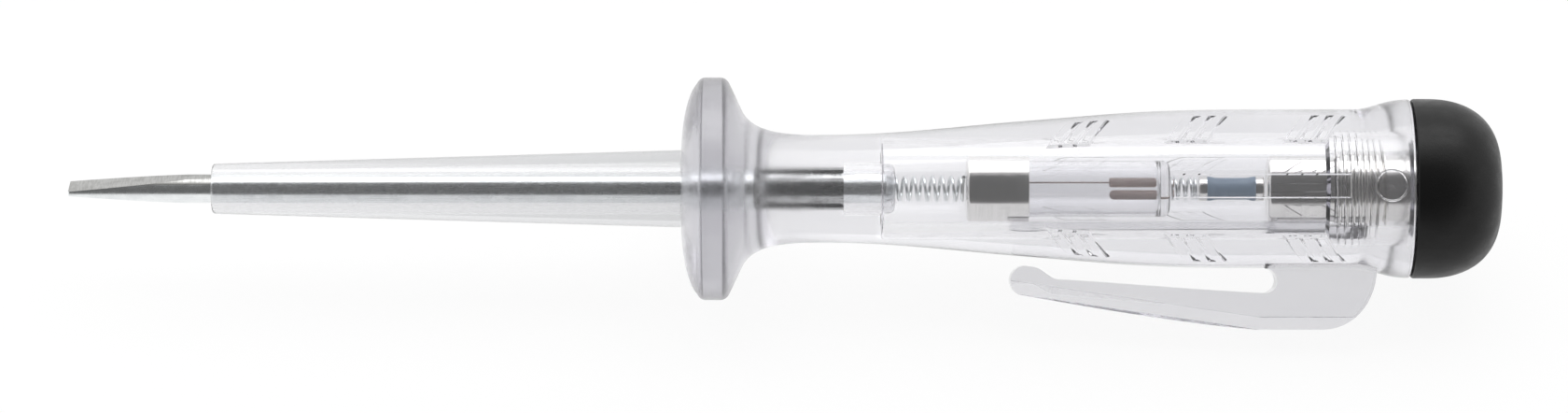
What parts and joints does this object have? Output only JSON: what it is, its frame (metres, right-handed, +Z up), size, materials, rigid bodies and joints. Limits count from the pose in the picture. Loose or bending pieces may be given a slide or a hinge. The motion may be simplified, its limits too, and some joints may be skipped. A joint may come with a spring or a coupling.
{
  "type": "voltage tester screwdriver",
  "caption": "Neon voltage tester: a flat blade in a clear sleeve, a clear handle with a finger guard, grip pads and a pocket clip, a lamp and springs in its bore, and a black screw cap.",
  "frame": {"origin": "centre of the bounding box at the surface that the tool lies on, below the tool axis", "axes": "+X along the tool from the blade tip to the end cap, +Z up, the clip towards -Y and down at 45 degrees"},
  "size_m": [0.15, 0.0232, 0.0233],
  "materials": {
    "clear_plastic": "clear, moulded",
    "plated_steel": "satin plate",
    "nickel_plate": "bright plate",
    "electrode_coat": "dull copper-coloured",
    "lamp_glass": "clear",
    "resistor_coating": "lacquer",
    "black_plastic": "fine grain"
  },
  "bodies": {
    "handle_body": {"blade": "plated_steel", "blade_sleeve": "clear_plastic", "handle": "clear_plastic", "front_contact_spring": "plated_steel"},
    "clip_arm": {"pocket_clip": "clear_plastic"},
    "lamp_train": {"lamp_cap": "nickel_plate", "lamp_glass": "lamp_glass", "lamp_upper_electrode": "electrode_coat", "lamp_lower_electrode": "electrode_coat", "rear_contact_spring": "plated_steel", "resistor_front_cap": "nickel_plate", "resistor_body": "resistor_coating", "resistor_rear_cap": "nickel_plate"},
    "screw_cap": {"contact_stud": "nickel_plate", "end_cap": "black_plastic", "touch_contact": "nickel_plate"}
  },
  "joints": [
    {"name": "lamp_slide", "type": "slide", "parent": "handle_body", "child": "lamp_train", "axis": [1, 0, 0], "range_m": [0, 0.00825], "deforming": ["front_contact_spring"]},
    {"name": "cap_turn", "type": "hinge", "parent": "lamp_train", "child": "screw_cap", "pos_m": [0.0655, 0, 0.01165], "axis": [1, 0, 0], "range_deg": [0, 3960]},
    {"name": "clip_flex", "type": "hinge", "parent": "handle_body", "child": "clip_arm", "pos_m": [0.0497, -0.00907, 0.00258], "axis": [0, -0.7071, 0.7071], "range_deg": [-1.5, 7], "stiffness_Nm_per_rad": 0.5}
  ],
  "couplings": [
    {"joint": "lamp_slide", "follows": "cap_turn", "m_per_rad": 0.00011937}
  ]
}
